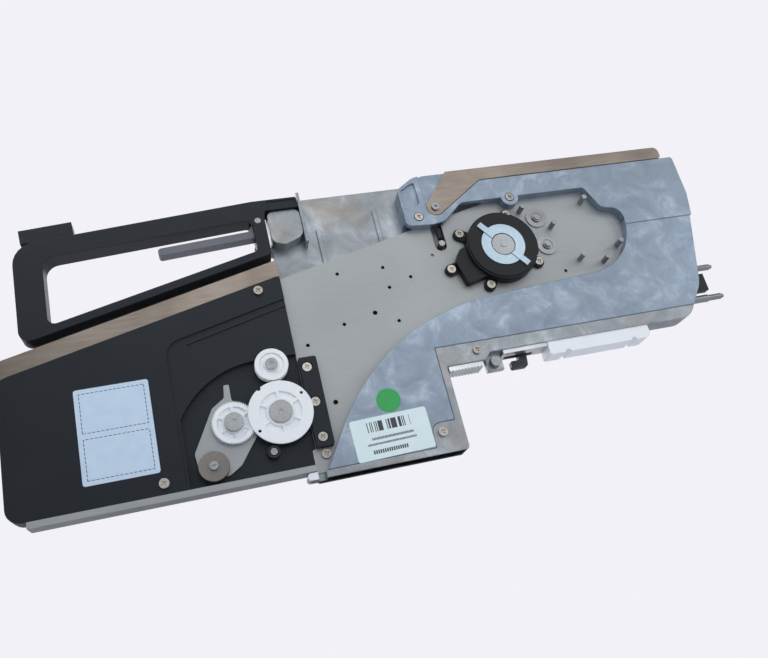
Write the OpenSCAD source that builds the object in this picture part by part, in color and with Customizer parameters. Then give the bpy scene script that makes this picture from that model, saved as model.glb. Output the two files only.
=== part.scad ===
// Electric component tape feeder, 8 mm tape class.
// Millimetres. X runs to the pick end, Z is up, the gear side faces -Y.
// The origin is the middle of the foot's underside.

/* [Body] */
// Thickness of the whole feeder body
body_t = 14; // [12:0.5:18]
// Thickness of the casting's back wall
wall_t = 1.8; // [1.7:0.1:2]
// Height of the raised castings over the open front face of the frame
rim_h = 7; // [6:0.5:8]
// Thickness of the sheet mounting plate
plate_t = 1; // [0.8:0.1:1.2]
// Width of the casting's side walls and ribs
rib_t = 3; // [2:0.1:4]
// Height of the top edge of the frame
top_z = 183; // [181:0.5:190]

/* [Foot and rail] */
// Front face of the foot
foot_front = 44; // [40:1:50]
// Back face of the foot
foot_back = -44.4; // [-52:0.2:-44]
// Height of the underside of the front rail
rail_z = 51; // [46:1:56]
// Front end of the feeder
nose_x = 247; // [244:1:262]

/* [Tape path] */
// Slope of the tape chute, in degrees
tape_slope = 13.5; // [13:0.1:14]
// Width of the tape that the channel takes
tape_w = 8; // [6:0.5:8.4]
// Height of the tape bed at the pick end
tape_z = 175; // [174:0.5:176]
// Height of the tape bed where it leaves the frame at the rear
chute_z = 125.7; // [124.5:0.1:127]

/* [Motor] */
// Motor shaft, forward of the origin
motor_x = 102; // [100:0.5:104]
// Motor shaft height
motor_z = 124.5; // [123:0.5:126]
// Diameter of the motor housing
motor_d = 47.6; // [44:0.2:50]
// Thickness of the motor housing
motor_h = 8.6; // [7:0.1:9]
// Diameter of the motor and gear shafts
shaft_d = 4; // [3:0.1:5]

/* [Drive gears] */
// Module of the drive gears
drive_m = 0.8; // [0.76:0.01:0.8]
// Face width of the drive gears
gear_w = 1.8; // [1.4:0.1:1.9]
// Teeth of the pinions on the motor and on the reduction shaft
pinion_n = 12; // [11:1:13]
// Teeth of the reduction gear
reduction_n = 72; // [70:1:73]
// Teeth of the transfer gear
transfer_n = 40; // [38:1:41]
// Teeth of the idler gear
idler_n = 70; // [68:1:71]
// Teeth of the gear beside the sprocket
sprocket_gear_n = 35; // [34:1:36]
// Teeth of the tape sprocket, one for every 4 mm of tape
sprocket_n = 24; // [23:1:25]
// Sprocket axis, forward of the origin
sprocket_x = 215; // [213:1:217]

/* [Cover tape remover] */
// Axis of the flanged film gear, forward of the origin
film_x = -58; // [-60:0.5:-57]
// Axis height of the flanged film gear
film_z = 42; // [41:0.5:44]
// Module of the film gears
film_m = 0.4; // [0.38:0.01:0.41]
// Teeth of the flanged film gear
film_n = 72; // [70:1:74]
// Teeth of the small film gear
small_n = 61; // [59:1:63]
// Diameter of the flange on the film gear
flange_d = 37; // [35:0.5:38]
// Diameter of the guide roller
roller_d = 19.4; // [17:0.2:20]
// Diameter of the knurled pinch roller
pinch_d = 17; // [15:0.2:18]

/* [Rear housing and handle] */
// Rear end of the feeder
rear_x = -206; // [-220:1:-200]
// Height of the housing's outer face over the frame's front face
housing_h = 5; // [4.5:0.1:5.5]
// Height of the finger opening at its front end
finger_gap = 22; // [20:0.5:24]
// Travel of the release trigger, in degrees
trigger_turn = 5; // [3:0.5:6]

/* [Clamp lever] */
// Pivot of the clamp lever, forward of the origin
lever_x = 65.8; // [64:0.2:67]
// Pivot height of the clamp lever
lever_z = 159.2; // [158:0.2:160]
// Sheet thickness of the lever and the tape guide
lever_t = 1.4; // [1:0.1:1.6]
// Diameter of the lever's pivot screw
pivot_d = 4; // [3:0.2:5]

/* [Fasteners] */
// Thread diameter of the screws
screw_d = 3; // [2:0.1:3.2]
// Head diameter of the screws
head_d = 5.5; // [5:0.1:6]
// Head height of the screws
head_h = 1.5; // [1:0.1:1.8]

/* [Fits] */
// Radial running clearance of the shafts in their bores
run_gap = 0.05; // [0.02:0.01:0.1]
// Gap between pieces that move past each other
move_gap = 0.3; // [0.25:0.05:0.4]
// Gap between fixed neighbours that are set side by side
seam = 0.3; // [0.2:0.05:0.4]

/* [Hidden] */
$fn = 48;
y_front = -body_t / 2;             // outer face of the raised castings
y_back = body_t / 2;               // outer face of the back wall
y_face = y_front + rim_h;          // front face of the ribs, under the plate
y_wall = y_back - wall_t;          // inner face of the back wall
y_plate = y_face - plate_t;        // outer face of the mounting plate
y_house = y_face - housing_h;      // outer face of the rear housing

// ---------------------------------------------------------------- helpers
function unit(v) = v / norm(v);
function polar(r, a) = [r * cos(a), r * sin(a)];
function turn_of(d) = d > 180 ? d - 360 : d < -180 ? d + 360 : d;
// The points of one corner: b is [x, z, radius], a and c are its neighbours.
function corner(a, b, c) =
    let (p = [b[0], b[1]], u = unit([a[0], a[1]] - p), v = unit([c[0], c[1]] - p),
         half = acos(max(-1, min(1, u * v))) / 2)
    b[2] <= 0 || half > 89 ? [p] :
    let (reach = b[2] / tan(half), mid = p + unit(u + v) * b[2] / sin(half),
         s = p + u * reach - mid, e = p + v * reach - mid,
         a0 = atan2(s[1], s[0]), sweep = turn_of(atan2(e[1], e[0]) - a0),
         n = max(2, ceil(abs(sweep) / (b[2] > 30 ? 5 : 15))))
    [for (i = [0:n]) mid + polar(b[2], a0 + sweep * i / n)];
// An outline with rounded corners from [x, z, radius] points.
function rounded(p) =
    [for (i = [0:len(p) - 1]) each corner(p[(i + len(p) - 1) % len(p)], p[i], p[(i + 1) % len(p)])];
// The lower-right meeting point of two circles.
function meet(a, b, ra, rb) =
    let (d = norm(b - a), u = (b - a) / d, t = (d * d + ra * ra - rb * rb) / (2 * d))
    a + u * t + [u[1], -u[0]] * sqrt(ra * ra - t * t);
// An outline point placed from another point.
function near(p, x, z, r) = [p[0] + x, p[1] + z, r];
function gear_r(m, n) = m * n / 2;
// Turns gear B so that a gap faces a tooth of gear A; dir is the way from A to B.
function mesh_phase(dir, phase_a, na, nb) = dir + 180 + (dir - phase_a) * na / nb - 180 / nb;
function direction(a, b) = atan2(b[1] - a[1], b[0] - a[0]);
function gear_points(m, n, phase) = let (r = gear_r(m, n), p = 360 / n)
    [for (i = [0:n - 1], k = [[-0.31, -1.2], [-0.12, 0.9], [0.12, 0.9], [0.31, -1.2]])
        polar(r + k[1] * m, phase + (i + k[0]) * p)];

// A side-view outline made solid from depth y0 to depth y1.
module slab(y0, y1) {
    translate([0, y1, 0]) rotate([90, 0, 0]) linear_extrude(y1 - y0) children();
}
module disc(p, r, y0, y1) { slab(y0, y1) translate(p) circle(r = r); }
module discs(list, r, y0, y1) { for (p = list) disc(p, r, y0, y1); }
module ring(p, r_out, r_in, y0, y1) {
    slab(y0, y1) translate(p) difference() { circle(r = r_out); circle(r = r_in); }
}
// Pan-head screws with a cross recess, heads proud of the face at depth y.
module screws(list, y, reach) {
    recess_w = head_d * 0.14;
    for (p = list) difference() {
        union() {
            disc(p, head_d / 2, y - head_h, y);
            disc(p, screw_d / 2, y - head_h / 2, y + reach);
        }
        slab(y - head_h - 1, y - head_h / 2) translate(p) rotate(25) {
            square([head_d * 0.55, recess_w], center = true);
            square([recess_w, head_d * 0.55], center = true);
        }
    }
}
module screw_bores(list, y0, y1) { discs(list, screw_d / 2, y0, y1); }

// ---------------------------------------------------------------- shared places
slope = tan(tape_slope);
function bed_z(x) = chute_z + (x - foot_back) * slope;   // top of the sloped tape bed
bed_end_x = foot_back + (tape_z - chute_z) / slope;      // where the bed turns level
body_back = foot_back + 2;                               // rear edge of the frame above the foot
shoulder_z = 18;                                         // top of the foot's wider part
rail_x = foot_front + 25;                                // where the rail's underside steps up
rail_top = rail_z + 4.5;                                 // underside of the nose
tape_y0 = y_wall - tape_w - 0.4;                         // near edge of the tape channel

motor = [motor_x, motor_z];
reduction = motor + polar(drive_m * (pinion_n + reduction_n) / 2, -1.9);
transfer = reduction + polar(drive_m * (pinion_n + transfer_n) / 2, 94);
sprocket_r = 4 * sprocket_n / (2 * PI);
sprocket = [sprocket_x, tape_z - sprocket_r];
idler = meet(transfer, sprocket, drive_m * (transfer_n + idler_n) / 2,
             drive_m * (idler_n + sprocket_gear_n) / 2);
motor_phase = 0;
reduction_phase = mesh_phase(direction(motor, reduction), motor_phase, pinion_n, reduction_n);
transfer_phase = mesh_phase(direction(reduction, transfer), 0, pinion_n, transfer_n);
idler_phase = mesh_phase(direction(transfer, idler), transfer_phase, transfer_n, idler_n);
sprocket_phase = mesh_phase(direction(idler, sprocket), idler_phase, idler_n, sprocket_gear_n);
y_train = y_face + 0.4;                                  // near layer: transfer, idler, sprocket
y_reduce = y_train + gear_w + move_gap;                  // far layer: motor pinion, reduction
shaft_r = shaft_d / 2;
bore_r = shaft_r + run_gap;

film = [film_x, film_z];
small = film + polar(film_m * (film_n + small_n) / 2, 182.2);
small_phase = mesh_phase(direction(film, small), 0, film_n, small_n);
roller = film + [0, flange_d / 2 + roller_d / 2 + 0.6];
pinch = small + polar(26.8, 237.2);
film_w = 2.5;                                            // width of the film gears' teeth
arm_t = 0.8;                                             // sheet of the swing arm
flange_t = 1.2;                                          // flange of the film gear
y_floor = y_face - 1.2;                                  // floor of the remover's recess
y_arm = y_floor - move_gap - arm_t;                      // near face of the swing arm
y_teeth = y_arm - move_gap - film_w;                     // near face of the film gears' teeth
y_flange = y_teeth - move_gap - flange_t;                // near face of the flange

lever = [lever_x, lever_z];
lever_end_r = 5.7;
lever_up = 50.8;                                         // direction of the lever's rear edge
lever_low = 33.5;                                        // direction of the lever's lower edge
y_lever = y_front + 0.4;                                 // outer face of the lever
guide_top = tape_z + 10;                                 // top of the tape guide
guide_back = lever_x + 30;                               // where the tape guide meets the lever
// front corner of the lever, where its lower edge meets the tape guide's underside
lever_front = let (p = lever + polar(lever_end_r, lever_low - 90))
    [p[0] + (tape_z + 0.8 - p[1]) / tan(lever_low), tape_z + 0.8];
spring_top = [64.2, 146];
spring_pin = [64.2, 134];

plate_holes = [[-6.7, 124.3], [22.7, 124.3], [38.9, 115.2], [23.7, 110.2], [56.6, 127.9], [-9.7, 90.4],
               [24.2, 87.2], [-34.1, 80.8], [142.5, 103.3]];
big_holes = [[10.7, 94.8], [-25.4, 43.3]];
post_places = [[124, 150.5], [142, 135.8], [169.5, 151.5], [155, 110], [171, 106], [184.3, 116.2]];
motor_ears = [for (p = [[65.3, 114.8], [77.3, 138.8], [124.8, 111.5], [88, 100.4], [112.8, 148.4]])
              p + motor - [102, 124.5]];
housing_screws = [[-57.1, 118.7], [-126.1, 14.5]];
block_screws = [[-37.9, 66.3], [-37.4, 44.8], [-37.4, 23.8]];
cover_screws = [[30.7, 12.5]];
plate_screw = [body_back + 5.3, 14.4];
rail_screws = [[65, 58]];

cover_bottom = 4;                                        // parting line over the foot's base strip
cover_front = foot_front - 4.3;                          // parting line beside the foot's front strip
cover_top = rail_z + 12.5;                               // parting line over the rail strip
pad = [foot_front - 13.3, 12.5];                         // screw pad that the cover is cut round
pad_r = 5.8;
pocket_x = 193.5;                                        // front wall of the open pocket
split_z = 128;                                           // seam between side cover and top casting
boss = [118, 159.5];                                     // screw boss on the top casting's edge
boss_r = 6;
casting_back = 43.5;                                     // rear edge of the top casting
guard_screw = [53, 153.5];                               // short screw over the tape channel
casting_screws = [guard_screw, boss];

sunk = 1.2;                                              // depth that the casting's screw heads are sunk

// frame
bed_t = 1.6;                                             // thickness of the sloped tape bed
win_back = 58;                                           // rear edge of the gear window
win_low = 92;                                            // lower edge of the gear window
bearing_r = 5;                                           // shaft bearings in the plate
y_sprocket = tape_y0 + 1;                                // near face of the tape sprocket

// front rail
pin_x = 75.5;                                            // cross pin under the rail
pin_z = rail_z - 1.5;
pin_r = 3.25;
guide_x = 111;                                           // rear end of the white guide block
guide_len = 70;

// clamp hook under the rail and the link that works it
hook = [96, rail_top + 8];                               // pivot of the clamp hook
hook_arm = 8;                                            // from the hook's pivot to its peg
trigger_arm = 14;                                        // from the trigger's pivot to its peg
peg_r = 1;
link_t = 0.8;                                            // thickness of the release link
hook_peg = hook + [0, hook_arm];

// rear housing and chute
housing_edge = body_back - seam;                         // front edge of the rear housing
housing_low = 8.5;                                       // underside of the rear housing
cover_t = 1;                                             // sheet that closes the rear housing
step_x = -115;                                           // rear edge of the lower panel
arc_at = [-65.8, 21.5];                                  // centre of the recess's round edge
arc_r = 54;
chute_wall = 1;
chute_h = 12;                                            // height of the chute's near wall
y_chute = y_back - link_t - move_gap;                    // far face of the chute and the handle

// handle and release trigger
web_x = body_back - 2;                                   // front face of the handle's web
web_w = 8;
grip_slope = 4;                                          // rearward fall of the grip, in degrees
handle_rear = rear_x + 14;
open_front = web_x - web_w;                              // ends of the finger opening
open_rear = handle_rear + 16;
open_floor = 5;                                          // thickness of the bar under the opening
grip_t = grip_top(open_front) - handle_low(open_front) - open_floor - finger_gap;
trigger_at = [open_front + 3.6, grip_top(open_front) - grip_t - 1];
trigger_peg = trigger_at - [0, trigger_arm];
trigger_w = 7;
trigger_len = 62;
trigger_drop = trigger_len * sin(trigger_turn) + 1.2;    // free space over the trigger

// operation panel
panel_w = 30;                                            // length of the panel along the grip
panel_t = 9;                                             // height of the panel over the grip
panel_at = handle_rear + 20;                             // middle of the panel
button_r = 2.6;
button_travel = 0.8;
button_pitch = 8;

// cover tape remover
axle_r = 2;
spacer_r = axle_r + 1.4;                                 // spacers on the fixed axles
spring_boss = [-65.8, 20.5];
roller_w = 4.6;
roller_y = y_front + 0.2;                                // near face of the guide roller
film_r = gear_r(film_m, film_n);
head_sunk = 1.8;                                         // seat of the block's screws, under the flange
hub_seat_r = 3.5;
pinch_w = 4.2;
pinch_y = y_arm - move_gap - pinch_w;                    // near face of the pinch roller

// front end
locator_r = 2;                                           // free ends of the locating pins
locator_free = 10;
shank_r = 2.5;                                           // shanks of the locating pins, held in the nose
locator_y = (y_face + y_wall) / 2;
locator_x = nose_x - 30;                                 // rear ends of the locating pins
locator_z = [rail_top + 14, rail_top + 36];
connector = [[nose_x - 28, y_face, locator_z[0] + 5], [nose_x - 8, y_wall, locator_z[1] - 5]];

// ---------------------------------------------------------------- frame
module body_outline() {
    polygon(rounded([
        [foot_back, 0, 1.5], [foot_front, 0, 2], [foot_front, rail_z, 0.8], [rail_x, rail_z, 1],
        [rail_x + 4, rail_top, 1.5], [nose_x - 34, rail_top, 12], [nose_x - 18, rail_top + 22, 20],
        [nose_x, tape_z - 30, 14], [nose_x, tape_z, 2], [guide_back - 6, tape_z, 1],
        [guide_back - 6, top_z, 2], [body_back, top_z, 3], [body_back, shoulder_z, 1],
        [foot_back, shoulder_z, 0.8]]));
}
// Everything below the tape bed, lowered by a given drop.
module under_bed(drop) {
    polygon([[foot_back - 9, bed_z(foot_back - 9) - drop], [bed_end_x, tape_z - drop],
             [nose_x + 9, tape_z - drop], [nose_x + 9, -9], [foot_back - 9, -9]]);
}
// The raised strips round the side cover, widened by a given gap.
module border(gap) {
    translate([pad[0] - pad_r - gap, -1]) square([pad_r + gap, pad[1] + 1]);
    translate(pad) circle(r = pad_r + gap);
    translate([pad[0], -1]) square([foot_front - pad[0] + 1, pad[1] + pad_r + 1 + gap]);
    translate([foot_back - 1, -1]) square([foot_front - foot_back, cover_bottom + 1 + gap]);
    translate([cover_front - gap, -1]) square([foot_front - cover_front + gap, cover_top + 1 + gap]);
    translate([cover_front, rail_z - 1]) square([nose_x - cover_front, cover_top - rail_z + 1 + gap]);
}
module windows() {
    // gear train
    intersection() {
        polygon(rounded([
            [win_back, win_low, 6], [nose_x - 42, win_low, 8], [nose_x - 16, win_low + 12, 8],
            [nose_x - rib_t, tape_z - 28, 10], [nose_x - rib_t, tape_z, 2], [win_back, tape_z, 2]]));
        under_bed(bed_t);
    }
    // behind the mounting plate
    intersection() {
        polygon(rounded([
            [body_back + rib_t, 72, 4], [win_back - rib_t, 72, 4], [win_back - rib_t, tape_z, 2],
            [body_back + rib_t, tape_z, 2]]));
        under_bed(bed_t);
    }
    // inside the foot, where the clamp rod comes down
    polygon(rounded([
        [body_back + rib_t, rib_t, 4], [pad[0] - pad_r - rib_t, rib_t, 4],
        [pad[0] - pad_r - rib_t, pad[1] + pad_r + rib_t, 3],
        [foot_front - rib_t - 2, pad[1] + pad_r + rib_t, 3],
        [foot_front - rib_t - 2, rail_top + rib_t, 3], [foot_front - rib_t - 2, 72 - rib_t, 3],
        [body_back + rib_t, 72 - rib_t, 4]]));
    // over the rail
    polygon(rounded([
        [foot_front, rail_top + rib_t, 3], [nose_x - 34, rail_top + rib_t, 10],
        [nose_x - 22, win_low - rib_t, 6], [foot_front, win_low - rib_t, 3]]));
}
module main_frame() {
    pad_box = [body_back, tape_z - 27, body_back + 22.5, tape_z - 3];
    color("lightslategray") difference() {
        union() {
            slab(y_wall, y_back) body_outline();
            slab(y_face, y_wall) difference() {
                intersection() { body_outline(); under_bed(0); }
                windows();
            }
            slab(y_front, y_face) intersection() {
                body_outline();
                difference() { border(0); translate([foot_back - 2, -2]) square([6.4, 30]); }
            }
            // pad and upright that carry the handle
            slab(y_face - 4, y_wall) polygon(rounded([
                [pad_box[0], pad_box[1] + 3, 5], [pad_box[0] + 8, pad_box[1], 4], [pad_box[2] - 2, pad_box[1] + 5, 6],
                [pad_box[2] - 2, pad_box[3], 4], [pad_box[0], pad_box[3], 4]]));
            slab(y_face - 5, y_wall) translate([pad_box[2] - 1.8, pad_box[1]]) square([1.8, top_z - pad_box[1]]);
            // shallow stiffening ribs on the open wall
            for (x = [body_back + 30, body_back + 69]) slab(y_wall - 1, y_wall)
                polygon([[x, bed_z(x)], [x + 3, bed_z(x + 3)], [x + 3, bed_z(x) + 26], [x, bed_z(x) + 26]]);
            // bosses for the idler's pin and the plate's screw
            disc(idler, shaft_r + 3, y_reduce, y_wall);
            disc(plate_screw, screw_d, y_face, y_wall);
            // lug that holds the cross pin
            slab(-2, 2) translate([pin_x - pin_r - 2, pin_z - pin_r - 1.5])
                square([2 * pin_r + 4, rail_top - pin_z + pin_r + 2]);
        }
        disc(idler, shaft_r, y_train - 1, y_back + 1);
        disc([pin_x, pin_z], pin_r, y_front, y_back);
        // groove for the release link, the hook's slot and the hole for its peg
        slab(y_back - link_t - move_gap, y_back + 1) link_outline(1.2);
        hook_slot();
        disc(hook_peg, 3.2, y_wall - 1, y_back + 1);
        discs([motor, reduction, sprocket], bore_r, y_wall - 1, y_back + 1);
        // bores of the locating pins and the seat of the connector
        for (z = locator_z) translate([locator_x, locator_y, z]) rotate([0, 90, 0]) cylinder(r = shank_r, h = 60);
        connector_block(0);
        // slot over the sprocket's gear
        disc(sprocket, gear_r(drive_m, sprocket_gear_n) + 2 * drive_m, y_train - move_gap, y_train + gear_w + move_gap);
        screw_bores(concat([plate_screw], cover_screws, rail_screws), y_front - 1, y_back + 1);
        disc(spring_pin, shaft_r, y_wall - 1, y_back + 1);
    }
}

module side_plate() {
    color("silver") difference() {
        slab(y_plate, y_face) difference() {
            intersection() { body_outline(); under_bed(0); }
            border(seam);
            for (p = plate_holes) translate(p) circle(r = 1.15);
            for (p = big_holes) translate(p) circle(r = 1.5);
            translate([spring_pin[0] - 3.9, spring_pin[1]]) square([7.8, 40]);
            translate(spring_pin) circle(r = 3.9);
            translate(motor) circle(r = shaft_r + 3);
            for (p = [reduction, transfer]) translate(p) circle(r = bearing_r);
            translate(sprocket) circle(r = sprocket_r + 2);
        }
        screw_bores(concat([plate_screw, boss], motor_ears, block_screws, post_places),
                    y_plate - 1, y_face + 1);
    }
}

// ---------------------------------------------------------------- raised castings
module cover_outline() {
    difference() {
        intersection() {
            body_outline();
            polygon(rounded([
                [foot_back + 3.4, 0, 0], [11, 87.1, 140], [pocket_x, 99.1, 37], [pocket_x, split_z, 0],
                [nose_x + 1, split_z, 0], [nose_x + 1, -1, 0], [foot_back + 3.4, -1, 0]]));
        }
        border(seam);
    }
}
module side_cover() {
    skin = 2;
    color("lightsteelblue") difference() {
        slab(y_front, y_plate) cover_outline();
        // hollow back: one pocket in the foot, one along the rail
        slab(y_front + skin, y_plate + 1) {
            polygon(rounded([
                [foot_back + 12, cover_bottom + 3, 2], [pad[0] - pad_r - 3, cover_bottom + 3, 2],
                [pad[0] - pad_r - 3, pad[1] + pad_r + 3, 2], [cover_front - 3, pad[1] + pad_r + 3, 2],
                [cover_front - 3, cover_top, 2], [30, 82, 12], [0, 62, 30]]));
            polygon(rounded([
                [cover_front + 4, cover_top + 3, 2], [nose_x - 32, cover_top + 3, 8], [nose_x - 12, 100, 8],
                [nose_x - 6, split_z - 4, 3], [pocket_x + 3.5, split_z - 4, 2], [pocket_x + 3.5, 96, 34],
                [cover_front + 4, 86, 3]]));
        }
    }
}
// The lever's seat, open upwards so that the lever can swing.
module lever_recess(gap) {
    r = lever_end_r + gap;
    translate(lever) circle(r = r);
    polygon([lever - [r, 0], lever + polar(r, lever_low - 90), lever_front + polar(gap, lever_low - 90),
             [guide_back + 8, tape_z], [guide_back + 8, tape_z + 20], [lever[0] - r, tape_z + 20]]);
}
module top_outline() {
    union() {
        polygon(rounded([
            [casting_back, bed_z(casting_back) + 1, 4], [casting_back + 18, bed_z(casting_back), 3],
            [casting_back + 26, bed_z(casting_back) + 1.5, 3], [casting_back + 40, tape_z - 15, 6],
            [172, tape_z - 15.2, 3], [179.5, tape_z - 31, 3], [184, tape_z - 33, 1],
            [pocket_x, tape_z - 33, 8], [pocket_x, split_z + seam, 0], [nose_x - 3.2, split_z + seam, 0],
            [nose_x, tape_z - 30, 8], [nose_x, tape_z, 2], [guide_back + 5, tape_z, 0],
            [guide_back - 3, tape_z + 6, 1], [guide_back - 5, tape_z + 9.3, 1], [casting_back + 20, tape_z + 9.3, 8],
            [casting_back + 11, tape_z + 7, 5], [casting_back, tape_z, 5]]));
        translate(boss) circle(r = boss_r);
    }
}
module top_casting() {
    y_skin = tape_y0 - move_gap;
    color("lightsteelblue") difference() {
        union() {
            slab(y_front, y_skin) top_outline();
            slab(y_skin, y_plate) intersection() { top_outline(); under_bed(0); }
            // rear end wall, down to the frame's back wall
            slab(y_skin, y_wall) translate([casting_back, bed_z(casting_back) + 5])
                square([3, tape_z - bed_z(casting_back) - 7]);
        }
        slab(y_front - 1, y_lever + lever_t + move_gap) lever_recess(0.5);
        slab(y_front - 1, y_front + 1.4) polygon(rounded([
            [casting_back + 2.2, tape_z - 15, 1.5], [casting_back + 12.3, tape_z - 12.5, 1.5],
            [casting_back + 12.3, tape_z + 4, 1], [casting_back + 10, tape_z + 3.4, 1],
            [casting_back + 2.2, tape_z - 1, 1.5]]));
        disc(lever, pivot_d / 2, y_front - 1, y_plate + 1);
        disc(sprocket, sprocket_r + 2, y_sprocket - move_gap, y_plate + 1);
        screw_bores(casting_screws, y_front - 1, y_plate + 1);
        slab(y_plate - 4.5, y_plate + 1) translate([spring_pin[0] - 3.9, spring_pin[1]])
            square([7.8, spring_top[1] - spring_pin[1] + 4]);
        discs(casting_screws, head_d / 2 + 0.4, y_front - 1, y_front + sunk);
    }
}

// ---------------------------------------------------------------- clamp lever and tape guide
module lever_arm() {
    r = lever_end_r;
    top = tape_z + 9.7;
    back = lever + polar(r, lever_up + 90);
    back_top = [back[0] + (top - back[1]) / tan(lever_up), top];
    color("rosybrown") difference() {
        slab(y_lever, y_lever + lever_t) {
            translate(lever) circle(r = r);
            polygon([back, lever, lever + polar(r, lever_low - 90), lever_front, [guide_back + 1.8, tape_z + 3],
                     [guide_back + 0.4, tape_z + 6], [guide_back, top], back_top]);
        }
        disc(lever, pivot_d / 2 + run_gap, y_lever - 1, y_lever + lever_t + 1);
    }
}
module tape_guide() {
    y_far = y_back - 0.4;
    color("rosybrown") difference() {
        union() {
            slab(y_lever, y_lever + lever_t) polygon(rounded([
                [lever_front[0], tape_z + 0.8, 0], [guide_back + 1.8, tape_z + 3, 0], [guide_back + 0.4, tape_z + 6, 0],
                [guide_back, tape_z + 9.7, 0], [nose_x - 8, tape_z + 9.7, 4], [nose_x - 8, tape_z + 0.8, 2]]));
            slab(y_lever, y_far) translate([guide_back + 6, tape_z + 8.3]) square([nose_x - guide_back - 18, 1.4]);
            slab(y_far - 1.2, y_far) translate([guide_back + 6, tape_z + 1]) square([nose_x - guide_back - 18, 8]);
            slab(y_lever, y_far) translate([bed_end_x, tape_z + 1]) square([nose_x - bed_end_x - 10, 1.2]);
        }
        // pick window over the tape and slot over the sprocket
        translate([sprocket_x - 7, tape_y0 + 3, tape_z - 2]) cube([14, tape_w - 3.4, 20]);
        translate([sprocket_x - 9, tape_y0 + 0.4, tape_z - 2]) cube([18, 2.4, 20]);
    }
}
module lever_pivot() {
    color("gainsboro") difference() {
        union() {
            disc(lever, pivot_d / 2, y_lever - 0.2, y_plate);
            disc(lever, head_d / 2 - 0.2, y_lever - 1.2, y_lever - 0.15);
        }
        slab(y_lever - 2, y_lever - 0.4) translate(lever) circle(r = 1.2, $fn = 6);
    }
}
module lever_spring() {
    wire = 0.5;
    turns = 9;
    pitch = (spring_top[1] - spring_pin[1] - 5) / turns;
    color("dimgray") for (i = [0:turns])
        translate([spring_pin[0], y_plate - 2.2, spring_pin[1] + 3.2 + i * pitch])
            rotate_extrude() translate([1.5, 0]) square([wire, pitch * 0.62], center = true);
}
module spring_post() {
    color("gainsboro") disc(spring_pin, shaft_r, y_plate - 3.2, y_back);
}

// ---------------------------------------------------------------- motor
module motor_housing() {
    y_top = y_plate - motor_h;
    color("black") difference() {
        union() {
            disc(motor, motor_d / 2, y_plate - motor_h + 0.8, y_plate);
            disc(motor, motor_d / 2 - 1.2, y_top, y_plate);
            for (p = motor_ears) slab(y_plate - 2.2, y_plate) hull() {
                translate(p) circle(r = 3.8);
                translate(p + (motor - p) * 0.35) circle(r = 3.4);
            }
            slab(y_plate - 5.6, y_plate) polygon(rounded([
                wing_p(-33.8, -14.2, 2), wing_p(-8, -14.2, 2), wing_p(-8, 9.5, 2), wing_p(-27, 9.5, 3),
                wing_p(-33.8, 3, 3)]));
        }
        slab(y_top - 1, y_top + 1) translate(motor) circle(r = 14.8);
        disc(motor, shaft_r + 1, y_top - 2, y_plate + 1);
        screw_bores(motor_ears, y_plate - 3, y_plate + 1);
        discs(motor_ears, head_d / 2 + move_gap, y_top - 1, y_plate - 2.2);
    }
}
// A point of the motor's terminal box, which is turned with the motor.
function wing_p(x, z, r) = let (a = 15, p = motor + [x * cos(a) - z * sin(a), x * sin(a) + z * cos(a)]) [p[0], p[1], r];
module motor_plate() {
    y_seat = y_plate - motor_h + 1;
    color("gainsboro") difference() {
        union() {
            disc(motor, 14.5, y_seat - 1.4, y_seat);
            slab(y_seat - 2, y_seat - 1) translate(motor) rotate(-52) translate([-20.5, -2]) square([41, 4]);
        }
        disc(motor, 8, y_seat - 3, y_seat + 1);
    }
}
module motor_shaft() {
    y_seat = y_plate - motor_h + 1;
    color("darkgray") {
        disc(motor, shaft_r, y_seat - 1.6, y_back - 0.3);
        ring(motor, 7.5, shaft_r, y_seat - 1.2, y_seat - 0.3);
    }
}
module motor_pinion() {
    color("goldenrod") slab(y_reduce, y_reduce + gear_w) difference() {
        translate(motor) polygon(gear_points(drive_m, pinion_n, motor_phase));
        translate(motor) circle(r = shaft_r);
    }
}

// ---------------------------------------------------------------- drive train
module spoked_gear(m, n, at, phase, hub_r, y0, y1) {
    r = gear_r(m, n);
    slab(y0, y1) translate(at) difference() {
        polygon(gear_points(m, n, phase));
        circle(r = shaft_r);
        if (r > 18) for (i = [0:5]) rotate(i * 60 + 30) translate([(r + hub_r) / 2 - 1, 0])
            circle(r = (r - hub_r) / 2 - 3.2);
    }
}
module reduction_gear() {
    color("ivory") spoked_gear(drive_m, reduction_n, reduction, reduction_phase, 6, y_reduce, y_reduce + gear_w);
}
module reduction_shaft() {
    color("darkgray") {
        disc(reduction, shaft_r, y_plate - 3, y_back - 0.3);
        ring(reduction, 3, shaft_r, y_plate - 1.6, y_plate - 1.1);
        slab(y_train, y_reduce - 0.01) translate(reduction) polygon(gear_points(drive_m, pinion_n, 0));
    }
}
module transfer_gear() {
    color("ivory") spoked_gear(drive_m, transfer_n, transfer, transfer_phase, 5, y_train, y_train + gear_w);
}
module transfer_shaft() {
    color("darkgray") {
        disc(transfer, shaft_r, y_plate - 2.4, y_train + gear_w);
        ring(transfer, 3, shaft_r, y_plate - 1.6, y_plate - 1.1);
    }
}
module shaft_bearings() {
    color("gainsboro") for (p = [reduction, transfer]) {
        ring(p, bearing_r, bore_r, y_plate, y_face + 0.2);
        ring(p, bearing_r + 2, bearing_r - 1.2, y_plate - 0.9, y_plate);
        ring(p, bearing_r - 1.2, bore_r, y_plate - 0.6, y_plate);
    }
}
module idler_gear() {
    color("ivory") slab(y_train, y_train + gear_w) translate(idler) difference() {
        polygon(gear_points(drive_m, idler_n, idler_phase));
        circle(r = bore_r);
        for (i = [0:5]) rotate(i * 60) translate([17, 0]) circle(r = 7.4);
    }
}
module idler_pin() {
    color("darkgray") {
        disc(idler, shaft_r, y_train, y_back);
        disc(idler, shaft_r + 1.2, y_face + 0.05, y_train - 0.05);
    }
}
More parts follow.
